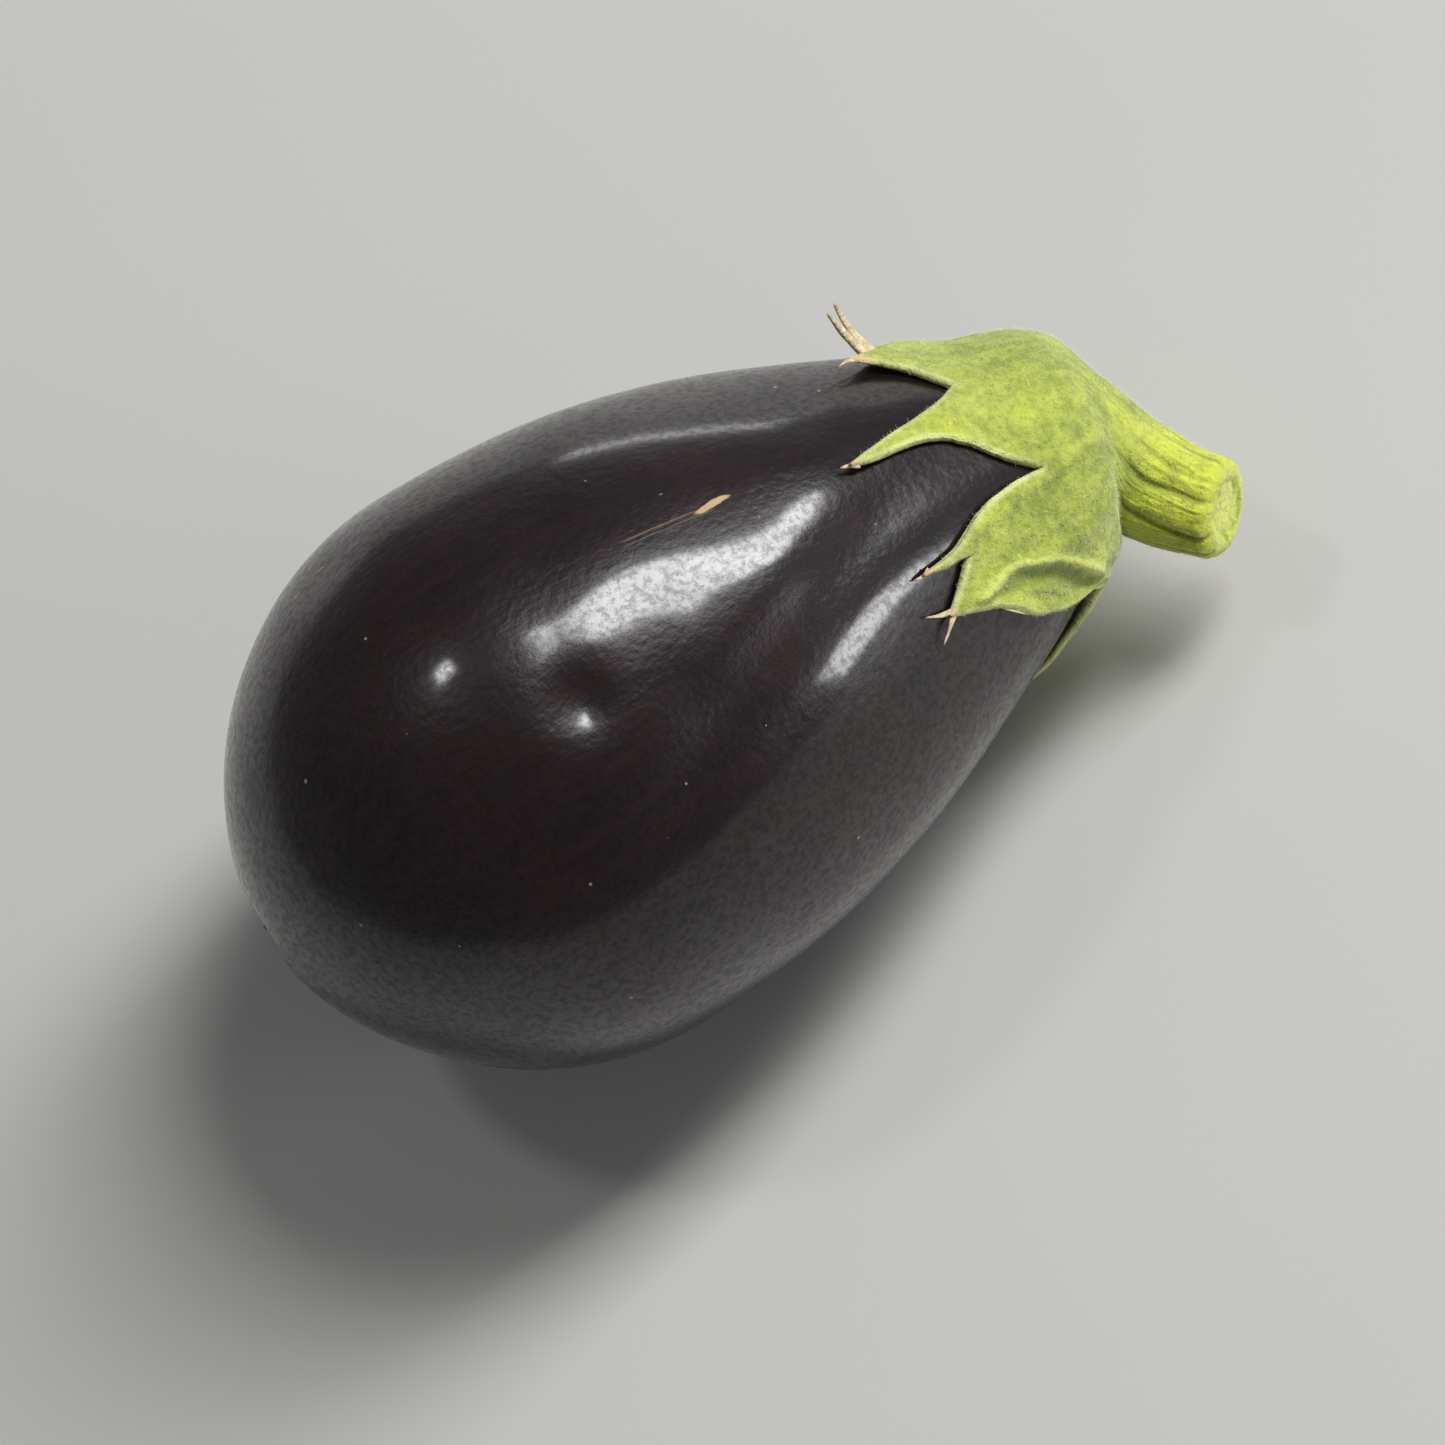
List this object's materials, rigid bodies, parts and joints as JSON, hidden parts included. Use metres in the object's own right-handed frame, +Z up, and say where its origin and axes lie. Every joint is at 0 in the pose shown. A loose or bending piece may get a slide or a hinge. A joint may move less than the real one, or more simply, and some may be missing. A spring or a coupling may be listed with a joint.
{
  "type": "eggplant",
  "caption": "Dark purple pear-shaped eggplant lying on its side, with a green lobed calyx and a short bent stem.",
  "frame": {"origin": "middle of the small flat spot that the fruit rests on", "axes": "+X along the fruit towards the stem, +Z up from the surface it lies on"},
  "size_m": [0.1674, 0.0956, 0.0965],
  "materials": {
    "skin": "gloss",
    "calyx": "matte",
    "stem": "matte"
  },
  "bodies": {
    "root": {"fruit": "skin", "calyx": "calyx", "stem": "stem"}
  },
  "joints": []
}
